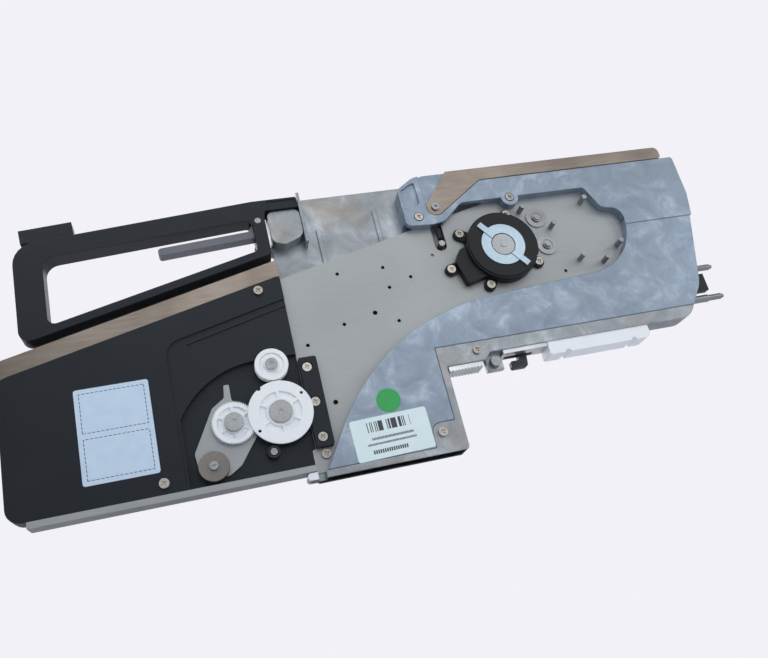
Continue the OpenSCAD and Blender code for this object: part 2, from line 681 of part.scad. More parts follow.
module sprocket_gear() {
    color("ivory") spoked_gear(drive_m, sprocket_gear_n, sprocket, sprocket_phase, 5, y_train, y_train + gear_w);
}
module tape_sprocket() {
    color("gainsboro") slab(y_sprocket, y_sprocket + 1) translate(sprocket) difference() {
        union() {
            circle(r = sprocket_r - 0.2);
            for (i = [0:sprocket_n - 1]) rotate(90 + i * 360 / sprocket_n)
                polygon([[sprocket_r - 0.5, -0.7], [sprocket_r + 0.9, -0.4], [sprocket_r + 0.9, 0.4],
                         [sprocket_r - 0.5, 0.7]]);
        }
        circle(r = shaft_r);
        for (i = [0:4]) rotate(i * 72) translate([9, 0]) circle(r = 3.2);
    }
}
module sprocket_shaft() {
    color("darkgray") disc(sprocket, shaft_r, y_sprocket, y_back - 0.3);
}

// ---------------------------------------------------------------- posts and screws
module plate_posts() {
    color("gainsboro") for (p = post_places) {
        disc(p, 1.7, y_plate - 8, y_plate);
        disc(p, screw_d / 2, y_plate - 0.5, y_face);
    }
}
module plate_screws() { color("silver") screws([plate_screw], y_plate, plate_t + 4); }
module motor_screws() { color("silver") screws(motor_ears, y_plate - 2.2, 2.2 + plate_t); }
module casting_fixings() {
    color("silver") {
        screws([guard_screw], y_front + sunk, tape_y0 - move_gap - y_front - sunk);
        screws([boss], y_front + sunk, rim_h - sunk);
    }
}
module frame_screws() { color("silver") screws(concat(cover_screws, rail_screws), y_front, rim_h + 2); }
module rear_screws() {
    color("silver") {
        screws(block_screws, y_teeth + head_sunk, y_face - y_teeth - head_sunk);
        screws(housing_screws, y_house, housing_h + 1.5);
    }
}

// ---------------------------------------------------------------- front rail
module guide_pin() {
    color("gainsboro") rotate([90, 0, 0]) translate([pin_x, pin_z, -y_back + 1])
        cylinder(r = pin_r, h = body_t - 2);
}
module rail_strip() {
    color("gainsboro") difference() {
        slab(y_front + 0.8, y_back - 0.8)
            translate([pin_x + pin_r + 2.6, rail_top - 2.6]) square([guide_x - pin_x - pin_r - 2.9, 2.6]);
        hook_slot();
    }
}
// Opening that the clamp hook swings in.
module hook_slot() {
    slab(y_face + 0.3, y_wall) translate([hook[0] - 12, rail_z - 9]) square([19, hook[1] - rail_z + 22]);
}
module guide_block() {
    color("white") slab(y_front + 0.4, y_back - 0.4) difference() {
        polygon(rounded([
            [guide_x, rail_top - 8.5, 1.5], [guide_x + guide_len, rail_top - 8.5, 4],
            [guide_x + guide_len, rail_top, 0], [guide_x, rail_top, 0]]));
        for (x = [guide_x + 12, guide_x + guide_len - 12]) translate([x, rail_top - 8.5]) circle(r = 1.8);
    }
}
module rack_strip() {
    tooth = 2;
    n = floor((rail_x - foot_front - 3) / tooth);
    x0 = foot_front + 1;
    color("silver") slab(y_front + 1, y_back - 1) polygon(concat(
        [[x0 + n * tooth, rail_z], [x0, rail_z]],
        [for (i = [0:n - 1], k = [[0, -2.6], [0.5, -3.6], [0.75, -3.6], [1, -2.6]])
            [x0 + (i + k[0]) * tooth, rail_z + k[1]]]));
}
module clamp_hook() {
    color("dimgray") {
        slab(y_face + 0.8, y_wall - 0.6) difference() {
            polygon(rounded([
                [hook[0] - 3, hook[1] + hook_arm + 2.5, 2.5], [hook[0] - 4, hook[1], 1], [hook[0] - 3, rail_top - 6, 1],
                [hook[0] - 9, rail_top - 6, 1], [hook[0] - 9, rail_top - 11, 1.5], [hook[0] + 1.5, rail_top - 11, 2],
                [hook[0] + 4, hook[1], 3], [hook[0] + 3, hook[1] + hook_arm + 2.5, 2.5]]));
            translate(hook) circle(r = shaft_r + run_gap);
        }
        disc(hook_peg, peg_r, y_wall - 0.6, y_back);
    }
}
module link_outline(gap) {
    along = direction(trigger_peg, hook_peg);
    len = norm(hook_peg - trigger_peg);
    translate(trigger_peg) rotate(along) polygon(rounded([
        [-4 - gap, -3.4 - gap, 3], [len + 4 + gap, -3.4 - gap, 3], [len + 4 + gap, 3.4 + gap, 3],
        [-4 - gap, 3.4 + gap, 3]]));
}
module release_link() {
    color("gainsboro") slab(y_back - link_t, y_back) difference() {
        link_outline(0);
        for (p = [trigger_peg, hook_peg]) translate(p) circle(r = peg_r + 0.9);
    }
}
module release_pins() {
    color("darkgray") {
        disc(hook, shaft_r, y_face + 0.2, y_wall);
        disc(trigger_at, shaft_r, y_front + 1.2, y_chute);
    }
}

// ---------------------------------------------------------------- rear housing
function housing_top(x) = bed_z(x) + 1;
function panel_z(x) = chute_z - 14 + (x - housing_edge) * 0.249;
module housing_outline(inset) {
    polygon(rounded([
        [housing_edge - inset, shoulder_z + seam + inset, 0], [housing_edge - inset, housing_top(housing_edge) - inset, 2],
        [rear_x + inset, housing_top(rear_x) - inset, 8], [rear_x + inset, housing_low + inset, 8],
        [foot_back - seam - inset, housing_low + inset, 0],
        [foot_back - seam - inset, shoulder_z + seam + inset, 0]]));
}
module recess_outline() {
    intersection() {
        translate(arc_at) circle(r = arc_r);
        translate([step_x + 2, housing_low - 1]) square([housing_edge - step_x, 90]);
    }
    translate(roller) circle(r = roller_d / 2 + 0.8);
    translate([film_x, housing_low - 1]) square([housing_edge - film_x + 1, arc_at[1] + arc_r - housing_low + 1]);
    translate([step_x + 2, housing_low - 1]) square([housing_edge - step_x, 14]);
}
module rear_housing() {
    color("darkslategray") difference() {
        slab(y_house, y_back - cover_t) housing_outline(0);
        slab(y_house - 1, y_house + 0.9) polygon(rounded([
            [step_x, 0, 0], [step_x, panel_z(step_x), 10], [housing_edge + 1, panel_z(housing_edge), 0],
            [housing_edge + 1, 0, 0]]));
        slab(y_house - 1, y_floor) recess_outline();
        slab(y_face + 0.8, y_back) housing_outline(2.2);
        screw_bores(housing_screws, y_house - 1, y_back);
        discs([film, small, roller, spring_boss], axle_r, y_floor - 1, y_back);
    }
    // second line of the moulded edge
    color("darkslategray") slab(y_house + 0.3, y_house + 0.9) polygon([
        [step_x + 12, panel_z(step_x + 12) - 5], [housing_edge, panel_z(housing_edge) - 5],
        [housing_edge, panel_z(housing_edge) - 4], [step_x + 12, panel_z(step_x + 12) - 4]]);
}
module rear_cover() {
    color("dimgray") slab(y_back - cover_t, y_back) housing_outline(0);
}
module tail_rail() {
    color("silver") slab(y_house - 0.5, y_back) translate([rear_x + 10, 5])
        square([foot_back - seam - rear_x - 10, housing_low - 5]);
}
function chute_band(z0, z1, x0, x1) = [[x0, bed_z(x0) + z0], [x1, bed_z(x1) + z0], [x1, bed_z(x1) + z1], [x0, bed_z(x0) + z1]];
module tape_chute() {
    x1 = body_back - seam;
    color("gainsboro") {
        slab(y_house + 1, y_chute) polygon(chute_band(1, 3.4, rear_x, x1));
        slab(y_house + 1, y_house + 1 + chute_wall) polygon(chute_band(3.4, chute_h, rear_x, x1));
        slab(y_chute - chute_wall, y_chute) polygon(chute_band(3.4, chute_h + 4, rear_x, x1));
    }
}

// ---------------------------------------------------------------- handle and release
function handle_low(x) = bed_z(x) + chute_h + 4.3;
function grip_top(x) = top_z - 3.5 + (x - web_x) * tan(grip_slope);
module handle() {
    lug_low = tape_z - 3 + seam;
    color("black") difference() {
        slab(y_front + 1, y_chute) difference() {
            polygon(rounded([
                [web_x, handle_low(web_x), 1], [web_x, lug_low - 6, 2], [web_x + 1, lug_low, 1],
                [body_back + 20.2, lug_low, 1], [body_back + 20.2, lug_low + 7.4, 1.5], [web_x - 6, lug_low + 7.4, 8],
                [handle_rear, grip_top(handle_rear), 14], [handle_rear, handle_low(handle_rear), 6]]));
            polygon(rounded([
                [open_front, handle_low(open_front) + open_floor, 3], [open_front, grip_top(open_front) - grip_t, 4],
                [open_rear, grip_top(open_rear) - grip_t, 8], [open_rear, handle_low(open_rear) + open_floor, 4]]));
        }
        // the frame's back wall runs behind the lug
        slab(y_wall, y_back) translate([housing_edge, lug_low - 1]) square([30, 20]);
        // inset border on the lug
        slab(y_front, y_front + 1.5) translate([web_x + 3, lug_low + 1.6]) square([18, 4.4]);
        disc(trigger_at, shaft_r, y_front, y_back);
        // slot for the trigger's end and its lower arm
        slab(-trigger_w / 2 - move_gap, trigger_w / 2 + move_gap) hull() {
            translate(trigger_at) circle(r = 4.6);
            translate(trigger_at - [3.4, 6]) circle(r = 4.6);
        }
        slab(-trigger_w / 2 - move_gap, y_back) hull() {
            translate(trigger_peg) circle(r = 3.2);
            translate(trigger_peg + [0, 8]) circle(r = 3.2);
        }
    }
}
module release_trigger() {
    function under_grip(x, d, r) = [x, grip_top(x) - grip_t - trigger_drop - d, r];
    color("dimgray") difference() {
        union() {
            slab(-trigger_w / 2, trigger_w / 2) {
                polygon(rounded([
                    under_grip(open_front - 3, 0, 2), under_grip(trigger_at[0] - trigger_len, 0, 2),
                    under_grip(trigger_at[0] - trigger_len, 5, 2), under_grip(trigger_at[0] + 2, 5, 2),
                    [trigger_at[0] + 3, trigger_at[1], 1], [trigger_at[0] - 3, trigger_at[1] + 1, 1]]));
                translate(trigger_at) circle(r = 3.6);
            }
            slab(trigger_w / 2 - 2, trigger_w / 2) polygon(rounded([
                [trigger_at[0] - 2, trigger_at[1], 0], [trigger_peg[0] - 2, trigger_peg[1] - 2, 2],
                [trigger_peg[0] + 2, trigger_peg[1] - 2, 2], [trigger_at[0] + 2, trigger_at[1], 0]]));
            disc(trigger_peg, peg_r, trigger_w / 2, y_back);
        }
        disc(trigger_at, shaft_r + run_gap, y_front, y_back);
    }
}

// ---------------------------------------------------------------- operation panel
// Places children in the panel's own axes: X along the grip, Z out of it.
module on_panel() {
    translate([panel_at, 0, grip_top(panel_at) + 0.2]) rotate([0, -grip_slope, 0]) children();
}
module control_panel() {
    y_w = body_t - 3;
    color("black") on_panel() difference() {
        translate([-panel_w / 2, -y_w / 2, 0]) cube([panel_w, y_w, panel_t]);
        for (i = [-1:1]) translate([i * button_pitch - 3, 0, panel_t - 4]) cylinder(r = button_r + move_gap, h = 5);
        translate([panel_w / 2 - 4, 0, panel_t - 2]) cylinder(r = 1.5, h = 5);
    }
}
module status_lamp() {
    color("limegreen") on_panel() translate([panel_w / 2 - 4, 0, panel_t - 2]) cylinder(r = 1.5, h = 2.5);
}
module panel_button(i) {
    color("gray") on_panel() translate([i * button_pitch - 3, 0, panel_t - 4 + button_travel + 0.2])
        cylinder(r = button_r, h = 4 + 0.6);
}

// ---------------------------------------------------------------- cover tape remover
module film_axles() {
    color("darkgray") {
        for (p = [film, small]) disc(p, axle_r, y_flange - 0.5, y_face + 0.8);
        disc(roller, axle_r, roller_y - 0.6, y_face + 0.8);
        disc(spring_boss, axle_r, y_teeth, y_face + 0.8);
        for (p = [film, small]) disc(p, spacer_r, y_teeth + film_w + run_gap, y_floor);
        disc(roller, spacer_r, roller_y + roller_w + run_gap, y_floor);
        difference() {
            disc(roller, 3.5, roller_y - 1.4, roller_y - 0.5);
            slab(roller_y - 2, roller_y - 1) translate(roller) circle(r = 1);
        }
    }
}
module gear_face(r_out, r_in, hub_r, y) {
    // shallow recess with six spokes
    slab(y - 1, y + 0.8) difference() {
        circle(r = r_out);
        circle(r = r_in);
        for (i = [0:5]) rotate(i * 60 + 30) translate([r_in - 0.5, -0.8]) square([r_out - r_in + 1, 1.6]);
    }
}
module film_gear() {
    color("white") translate([film_x, 0, film_z]) difference() {
        union() {
            slab(y_teeth, y_teeth + film_w) polygon(gear_points(film_m, film_n, 0));
            slab(y_flange, y_teeth - move_gap) circle(r = flange_d / 2);
            slab(y_flange, y_teeth + 0.2) circle(r = film_r - 3 * film_m);
        }
        gear_face(12, 8.4, 6.6, y_flange);
        disc([0, 0], hub_seat_r, y_flange - 1, y_face);
        disc([13.5, 9], 0.9, y_flange - 1, y_face);
        disc([-13.5, -9], 0.9, y_flange - 1, y_face);
        slab(y_flange - 1, y_teeth - move_gap + 0.01) translate([-10, 15.6]) circle(r = 1.3);
    }
}
module film_hub() {
    color("gainsboro") translate([film_x, 0, film_z]) {
        ring([0, 0], hub_seat_r, axle_r + run_gap, y_flange, y_teeth + film_w);
        difference() {
            disc([0, 0], 6.6, y_flange - 1.2, y_flange);
            disc([0, 0], axle_r + run_gap, y_flange - 0.55, y_flange + 1);
            slab(y_flange - 2, y_flange - 0.9) circle(r = 1.1);
        }
    }
}
module small_gear() {
    color("white") translate([small[0], 0, small[1]]) difference() {
        slab(y_teeth, y_teeth + film_w) polygon(gear_points(film_m, small_n, small_phase));
        gear_face(9.2, 6.4, 5.5, y_teeth);
        disc([0, 0], hub_seat_r, y_teeth - 1, y_face);
    }
}
module small_hub() {
    color("gainsboro") translate([small[0], 0, small[1]]) {
        ring([0, 0], hub_seat_r, axle_r + run_gap, y_teeth, y_teeth + film_w);
        difference() {
            disc([0, 0], 5.4, y_flange - 0.9, y_teeth);
            disc([0, 0], axle_r + run_gap, y_flange - 0.65, y_face);
            slab(y_flange - 2, y_flange) circle(r = 1.25);
        }
    }
}
module guide_roller() {
    color("white") difference() {
        union() {
            ring(roller, roller_d / 2, axle_r + run_gap, roller_y, roller_y + 1);
            ring(roller, roller_d / 2 - 1.2, axle_r + run_gap, roller_y + 1, roller_y + roller_w - 1);
            ring(roller, roller_d / 2, axle_r + run_gap, roller_y + roller_w - 1, roller_y + roller_w);
        }
        slab(roller_y - 1, roller_y + 0.5) translate(roller) difference() { circle(r = 7); circle(r = 4.6); }
    }
}
module swing_arm() {
    k = small;
    color("silver") {
        slab(y_arm, y_arm + arm_t) difference() {
            polygon(rounded([
                near(k, 0.9, 23.5, 0.6), near(k, -2.1, 23.5, 0.6), near(k, -3, 16, 2), near(k, -10.6, 11, 3),
                near(k, -23.6, -13, 3), near(k, -22, -28, 8), near(k, -7, -28.5, 4), near(k, 0.4, -24, 3),
                near(k, 13, -7, 3), near(k, 9.5, 6, 6), near(k, 0.9, 14, 3)]));
            translate(small) circle(r = spacer_r + run_gap);
        }
        disc(pinch, axle_r, pinch_y - 0.4, y_arm);
        difference() {
            disc(pinch, 2.3, pinch_y - 1.6, pinch_y - 0.3);
            slab(pinch_y - 2, pinch_y - 1) translate(pinch) square([2.6, 0.6], center = true);
        }
    }
}
module pinch_roller() {
    n = 48;
    color("gray") slab(pinch_y, pinch_y + pinch_w) translate(pinch) difference() {
        polygon([for (i = [0:n - 1], k = [0, 1]) polar(pinch_d / 2 - 0.35 * k, (i + k / 2) * 360 / n)]);
        circle(r = axle_r + run_gap);
    }
}
module arm_spring() {
    color("dimgray") for (i = [0:3]) ring(spring_boss, 3.6, axle_r + 0.4, y_teeth + 0.3 + i * 0.8, y_teeth + 0.8 + i * 0.8);
}
module bracket_block() {
    color("black") difference() {
        slab(y_teeth, y_plate) polygon(rounded([
            [body_back + 0.2, shoulder_z, 1], [body_back + 10.8, shoulder_z, 1.5],
            [body_back + 10.8, shoulder_z + 54.4, 1.5], [body_back + 0.2, shoulder_z + 54.4, 1]]));
        slab(y_teeth - 1, y_teeth + head_sunk) for (p = block_screws) translate(p) circle(r = head_d / 2 + 0.4);
        screw_bores(block_screws, y_teeth, y_plate + 1);
    }
}
module foot_slider() {
    color("white") slab(y_front + 2, y_back - 2) polygon(rounded([
        [foot_back, 0.4, 0], [foot_back, 4.6, 0], [foot_back - 6, 4.6, 2], [foot_back - 6, 0.4, 2]]));
}

// ---------------------------------------------------------------- front end
module locator_pins() {
    color("gainsboro") for (z = locator_z) translate([locator_x, locator_y, z]) rotate([0, 90, 0]) {
        cylinder(r = shank_r, h = nose_x - locator_free - locator_x);
        cylinder(r = locator_r, h = nose_x - locator_x);
        translate([0, 0, nose_x - locator_x]) cylinder(r = locator_r - 0.7, h = 2);
    }
}
module connector_block(gap) {
    translate(connector[0] - [0, 0, gap]) cube(connector[1] - connector[0] + [0, 0, 2 * gap]);
}
module dock_connector() {
    color("black") difference() {
        connector_block(0);
        translate([connector[1][0] - 3, y_face + 1, connector[0][2] + 1.4])
            cube([4, y_wall - y_face - 2, connector[1][2] - connector[0][2] - 2.8]);
    }
}

main_frame();
side_plate();
side_cover();
top_casting();
lever_arm();
tape_guide();
lever_pivot();
lever_spring();
spring_post();
motor_housing();
motor_plate();
motor_shaft();
motor_pinion();
reduction_gear();
reduction_shaft();
transfer_gear();
transfer_shaft();
shaft_bearings();
idler_gear();
idler_pin();
sprocket_gear();
tape_sprocket();
sprocket_shaft();
plate_posts();
plate_screws();
motor_screws();
casting_fixings();
frame_screws();
rear_screws();
guide_pin();
rail_strip();
guide_block();
rack_strip();
clamp_hook();
release_pins();
release_link();
rear_housing();
rear_cover();
tail_rail();
tape_chute();
handle();
release_trigger();
control_panel();
status_lamp();
panel_button(1);  // feed_button
panel_button(0);  // back_button
panel_button(-1);  // peel_button
film_axles();
film_gear();
film_hub();
small_gear();
small_hub();
guide_roller();
swing_arm();
pinch_roller();
arm_spring();
bracket_block();
foot_slider();
locator_pins();
dock_connector();
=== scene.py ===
import math

import bpy
from mathutils import Matrix, Vector


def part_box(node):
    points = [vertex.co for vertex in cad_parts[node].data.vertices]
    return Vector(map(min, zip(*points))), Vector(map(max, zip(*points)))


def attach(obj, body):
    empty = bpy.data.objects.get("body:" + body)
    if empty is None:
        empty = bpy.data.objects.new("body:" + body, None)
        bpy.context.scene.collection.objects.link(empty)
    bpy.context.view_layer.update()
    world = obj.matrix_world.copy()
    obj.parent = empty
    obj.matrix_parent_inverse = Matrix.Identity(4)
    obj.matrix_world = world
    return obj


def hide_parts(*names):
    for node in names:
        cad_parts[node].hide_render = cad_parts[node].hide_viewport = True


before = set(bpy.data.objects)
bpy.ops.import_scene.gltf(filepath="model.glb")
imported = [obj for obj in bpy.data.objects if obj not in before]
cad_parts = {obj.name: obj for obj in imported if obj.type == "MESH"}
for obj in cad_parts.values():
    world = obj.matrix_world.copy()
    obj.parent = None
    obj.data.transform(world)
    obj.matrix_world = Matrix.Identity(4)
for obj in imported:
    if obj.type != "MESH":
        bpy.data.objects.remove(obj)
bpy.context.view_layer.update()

# --- Camera -----------------------------------------------------------------
# A long-side view from a little below and to the rear of the feeder's gear
# side, with a normal lens and no depth of field.
eye = Vector((-0.1044, -0.4513, -0.0893))
look = Vector((0.2376, 0.9070, 0.3477)).normalized()
lean = Vector((0.1554, -0.3888, 0.9081))
across = look.cross(lean).normalized()
upward = across.cross(look)
camera_data = bpy.data.cameras.new("camera")
camera_data.lens = 38.27
camera_data.sensor_width = 36
camera_data.clip_start = 0.01
camera_data.clip_end = 50
camera = bpy.data.objects.new("camera", camera_data)
bpy.context.collection.objects.link(camera)
facing = Matrix((across, upward, -look)).transposed().to_4x4()
camera.matrix_world = Matrix.Translation(eye) @ facing
bpy.context.scene.camera = camera
bpy.context.scene.view_settings.view_transform = "Standard"


# --- Studio -----------------------------------------------------------------
# A pale room with four soft boxes. The floor shows only from above, so that
# it never covers the feeder, and takes most of its tone from the surround.
def linear(code):
    def channel(pair):
        value = int(pair, 16) / 255
        return value / 12.92 if value <= 0.04045 else ((value + 0.055) / 1.055) ** 2.4
    return (*(channel(code[i:i + 2]) for i in (1, 3, 5)), 1)


def add_node(tree, kind, inputs=(), **settings):
    made = tree.nodes.new(kind)
    for name, value in settings.items():
        setattr(made, name, value)
    for socket, value in dict(inputs).items():
        if isinstance(value, bpy.types.NodeSocket):
            tree.links.new(value, made.inputs[socket])
        else:
            made.inputs[socket].default_value = value
    return made


surround = linear("#F2F1F7")
world = bpy.data.worlds.new("pale surround")
bpy.context.scene.world = world
world.use_nodes = True
tree = world.node_tree
tree.nodes.clear()
seen = add_node(tree, "ShaderNodeLightPath")
shown = add_node(tree, "ShaderNodeMath", {
    0: seen.outputs["Is Camera Ray"], 1: seen.outputs["Is Transmission Ray"]}, operation="MAXIMUM")
lit = add_node(tree, "ShaderNodeBackground", {"Color": linear("#E9EDF4"), "Strength": 0.42})
backdrop = add_node(tree, "ShaderNodeBackground", {"Color": surround, "Strength": 1.0})
mixed = add_node(tree, "ShaderNodeMixShader", {
    0: shown.outputs[0], 1: lit.outputs[0], 2: backdrop.outputs[0]})
add_node(tree, "ShaderNodeOutputWorld", {"Surface": mixed.outputs[0]})

feeder_middle = Vector((0, 0, 0.09))
for name, place, size, power in (
        ("front box", (0.30, -1.15, 0.62), 0.95, 3.4),
        ("top box", (-0.35, -0.45, 1.05), 0.70, 4.4),
        ("side box", (1.05, -0.60, 0.35), 0.45, 2.2),
        ("rear box", (-0.20, 0.95, 0.60), 0.80, 4.5)):
    lamp_data = bpy.data.lights.new(name, "AREA")
    lamp_data.shape = "SQUARE"
    lamp_data.size = size
    lamp_data.energy = power
    lamp = bpy.data.objects.new(name, lamp_data)
    bpy.context.collection.objects.link(lamp)
    lamp.location = place
    toward = feeder_middle - Vector(place)
    lamp.rotation_euler = toward.to_track_quat("-Z", "Y").to_euler()

floor_size, foot_clearance, surround_share = 14, 0.0004, 0.72
bpy.ops.object.select_all(action="DESELECT")
bpy.ops.mesh.primitive_plane_add(size=floor_size, location=(0, 0, -foot_clearance))
floor = bpy.context.object
floor.name = "floor"
floor_paint = bpy.data.materials.new("pale floor")
floor_paint.use_nodes = True
tree = floor_paint.node_tree
tree.nodes.clear()
rays = add_node(tree, "ShaderNodeLightPath")
below = add_node(tree, "ShaderNodeNewGeometry")
matt = add_node(tree, "ShaderNodeBsdfDiffuse", {"Color": linear("#E6E6EC")})
glow = add_node(tree, "ShaderNodeEmission", {"Color": surround, "Strength": 1.0})
share = add_node(tree, "ShaderNodeMath", {
    0: rays.outputs["Is Camera Ray"], 1: surround_share}, operation="MULTIPLY")
ground = add_node(tree, "ShaderNodeMixShader", {
    0: share.outputs[0], 1: matt.outputs[0], 2: glow.outputs[0]})
clear = add_node(tree, "ShaderNodeBsdfTransparent")
side = add_node(tree, "ShaderNodeMixShader", {
    0: below.outputs["Backfacing"], 1: ground.outputs[0], 2: clear.outputs[0]})
add_node(tree, "ShaderNodeOutputMaterial", {"Surface": side.outputs[0]})
floor.data.materials.append(floor_paint)

# --- Cast frame -------------------------------------------------------------
# The feeder's body is one aluminium die casting: foot, back wall and raised
# strips. It is left raw, and the plate and covers are screwed to it.
AMOUNT, ONE, OTHER, BLEND = 0, 6, 7, 2  # sockets of a Mix node set to colours


def finish_of(name, roughness, metallic=0.0, **sockets):
    made = bpy.data.materials.new(name)
    made.use_nodes = True
    tree = made.node_tree
    tree.nodes.clear()
    shader = add_node(tree, "ShaderNodeBsdfPrincipled", {
        "Roughness": roughness, "Metallic": metallic, **sockets})
    add_node(tree, "ShaderNodeOutputMaterial", {"Surface": shader.outputs[0]})
    return made, tree, shader, add_node(tree, "ShaderNodeTexCoord").outputs["Object"]


def coat(material, *names):
    for name in names:
        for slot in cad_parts[name].material_slots:
            slot.material = material


def every(millimetres):
    # a pattern's scale, from the real distance at which it repeats
    return 1000 / millimetres


def cast_metal(name, dark, middle, pale, stain_and_reflection, cloud_mm):
    # Raw die casting is satin. Metal that met half cold in the mould leaves
    # pale clouds on a darker ground, under a fine sandy grain.
    swirl_mm, patch_mm, grit_mm = cloud_mm * 1.6, cloud_mm * 2.6, 0.7
    swirl_reach, grit_depth, edge_radius = 0.02, 0.0002, 0.0008
    made, tree, shader, where = finish_of(name, roughness=0.42, metallic=0.62)
    warp = add_node(tree, "ShaderNodeTexNoise", {
        "Vector": where, "Scale": every(swirl_mm), "Detail": 3.0})
    bent = add_node(tree, "ShaderNodeVectorMath", {
        0: warp.outputs["Color"], 1: (swirl_reach, swirl_reach, swirl_reach), 2: where},
        operation="MULTIPLY_ADD")
    clouds = add_node(tree, "ShaderNodeTexNoise", {
        "Vector": bent.outputs[0], "Scale": every(cloud_mm),
        "Detail": 7.0, "Roughness": 0.66, "Distortion": 0.5})
    tones = add_node(tree, "ShaderNodeValToRGB", {"Fac": clouds.outputs["Fac"]})
    ramp = tones.color_ramp
    ramp.elements[0].position, ramp.elements[0].color = 0.28, linear(dark)
    ramp.elements[1].position, ramp.elements[1].color = 0.74, linear(pale)
    ramp.elements.new(0.52).color = linear(middle)
    # The patches add a second tone over the clouds. On the side covers it is a real stain; on the
    # frame the brownish tone is a painted reflection of brown surroundings.
    patches = add_node(tree, "ShaderNodeTexNoise", {
        "Vector": where, "Scale": every(patch_mm), "Detail": 2.0})
    cover = add_node(tree, "ShaderNodeMapRange", {
        "Value": patches.outputs["Fac"], "From Min": 0.52, "From Max": 0.70, "To Max": 0.65})
    whole = add_node(tree, "ShaderNodeMix", {
        AMOUNT: cover.outputs[0], ONE: tones.outputs["Color"], OTHER: linear(stain_and_reflection)},
        data_type="RGBA")
    grit = add_node(tree, "ShaderNodeTexNoise", {
        "Vector": where, "Scale": every(grit_mm), "Detail": 3.0})
    round_edge = add_node(tree, "ShaderNodeBevel", {"Radius": edge_radius}, samples=4)
    relief = add_node(tree, "ShaderNodeBump", {
        "Height": grit.outputs["Fac"], "Strength": 0.22, "Distance": grit_depth,
        "Normal": round_edge.outputs[0]})
    sheen = add_node(tree, "ShaderNodeMapRange", {
        "Value": clouds.outputs["Fac"], "From Min": 0.3, "From Max": 0.7,
        "To Min": 0.50, "To Max": 0.34})
    tree.links.new(whole.outputs[BLEND], shader.inputs["Base Color"])
    tree.links.new(relief.outputs[0], shader.inputs["Normal"])
    tree.links.new(sheen.outputs[0], shader.inputs["Roughness"])
    return made


# On the frame the brownish patch tone #9B8E7E is a painted reflection of the wooden surroundings,
# not a stain in the metal.
coat(cast_metal("die-cast aluminium, raw", "#858A8E", "#9AA0A5", "#B9C2C9", "#9B8E7E",
                cloud_mm=19),
     "main_frame")

# --- Side covers ------------------------------------------------------------
# Two thinner aluminium castings close the gear side, the lower over foot and
# rail, the upper over the tape channel. Both are screwed to the frame, and
# their skin is bluer, with tighter and brighter clouds.
coat(cast_metal("die-cast aluminium, blue-grey skin",
                "#7E8C9C", "#8F9DAD", "#B2BFCD", "#87949F", cloud_mm=17),
     "side_cover", "top_casting")

# --- Mounting plate and plain sheet parts -----------------------------------
# Plated steel sheet, punched and left matt. The plate carries the motor, the
# bearings and the posts; the rear cover, link, tail rail and swing arm match.
# The rolls leave a faint grain along the sheet and a light haze.
grain_per_metre, haze_mm, grain_depth = (60, 200, 1500), 71.4, 0.0001
plate_metal, tree, shader, where = finish_of("plated sheet, matt", roughness=0.47, metallic=0.55)
grain_way = add_node(tree, "ShaderNodeMapping", {"Vector": where, "Scale": grain_per_metre})
grain = add_node(tree, "ShaderNodeTexNoise", {
    "Vector": grain_way.outputs[0], "Scale": 1.0, "Detail": 4.0})
haze = add_node(tree, "ShaderNodeTexNoise", {
    "Vector": where, "Scale": every(haze_mm), "Detail": 2.0})
tint = add_node(tree, "ShaderNodeMix", {
    AMOUNT: haze.outputs["Fac"], ONE: linear("#94989A"), OTHER: linear("#B0B4B4")},
    data_type="RGBA")
streak = add_node(tree, "ShaderNodeMix", {
    AMOUNT: 0.10, ONE: tint.outputs[BLEND], OTHER: grain.outputs["Color"]},
    data_type="RGBA", blend_type="OVERLAY")
rolled = add_node(tree, "ShaderNodeBump", {
    "Height": grain.outputs["Fac"], "Strength": 0.12, "Distance": grain_depth})
tree.links.new(streak.outputs[BLEND], shader.inputs["Base Color"])
tree.links.new(rolled.outputs[0], shader.inputs["Normal"])
coat(plate_metal, "side_plate", "rear_cover", "release_link", "tail_rail", "swing_arm")


# --- Clamp lever and tape guide ---------------------------------------------
# The lever, the guide that it carries and the tape chute are bent from
# stainless sheet and brushed lengthwise; the rail's strips are spring steel.
def brushed_steel(name, dark, pale, roughness, lines_per_metre):
    # Fine parallel scratches stretch each reflection into a soft band across
    # them. The scratches are drawn coarser than real ones, so that they show.
    patch_mm, scratch_depth, edge_radius = 45.5, 0.0001, 0.00025
    made, tree, shader, where = finish_of(name, roughness, metallic=0.92)
    along = add_node(tree, "ShaderNodeMapping", {"Vector": where, "Scale": lines_per_metre})
    lines = add_node(tree, "ShaderNodeTexNoise", {
        "Vector": along.outputs[0], "Scale": 1.0, "Detail": 5.0})
    soft = add_node(tree, "ShaderNodeTexNoise", {
        "Vector": where, "Scale": every(patch_mm), "Detail": 2.0})
    level = add_node(tree, "ShaderNodeMath", {
        0: lines.outputs["Fac"], 1: 0.45, 2: soft.outputs["Fac"]}, operation="MULTIPLY_ADD")
    tone = add_node(tree, "ShaderNodeMapRange", {
        "Value": level.outputs[0], "From Min": 0.5, "From Max": 0.95})
    mixed = add_node(tree, "ShaderNodeMix", {
        AMOUNT: tone.outputs[0], ONE: linear(dark), OTHER: linear(pale)}, data_type="RGBA")
    edge = add_node(tree, "ShaderNodeBevel", {"Radius": edge_radius}, samples=4)
    bump = add_node(tree, "ShaderNodeBump", {
        "Height": lines.outputs["Fac"], "Strength": 0.15, "Distance": scratch_depth,
        "Normal": edge.outputs[0]})
    tree.links.new(mixed.outputs[BLEND], shader.inputs["Base Color"])
    tree.links.new(bump.outputs[0], shader.inputs["Normal"])
    return made


coat(brushed_steel("stainless sheet, brushed", "#786E66", "#A0968B", roughness=0.38,
                   lines_per_metre=(60, 900, 900)), "lever_arm", "tape_guide", "tape_chute")
coat(brushed_steel("spring steel strip, bright", "#B4B6B8", "#E2E5E8", roughness=0.30,
                   lines_per_metre=(80, 900, 900)), "rail_strip", "rack_strip")

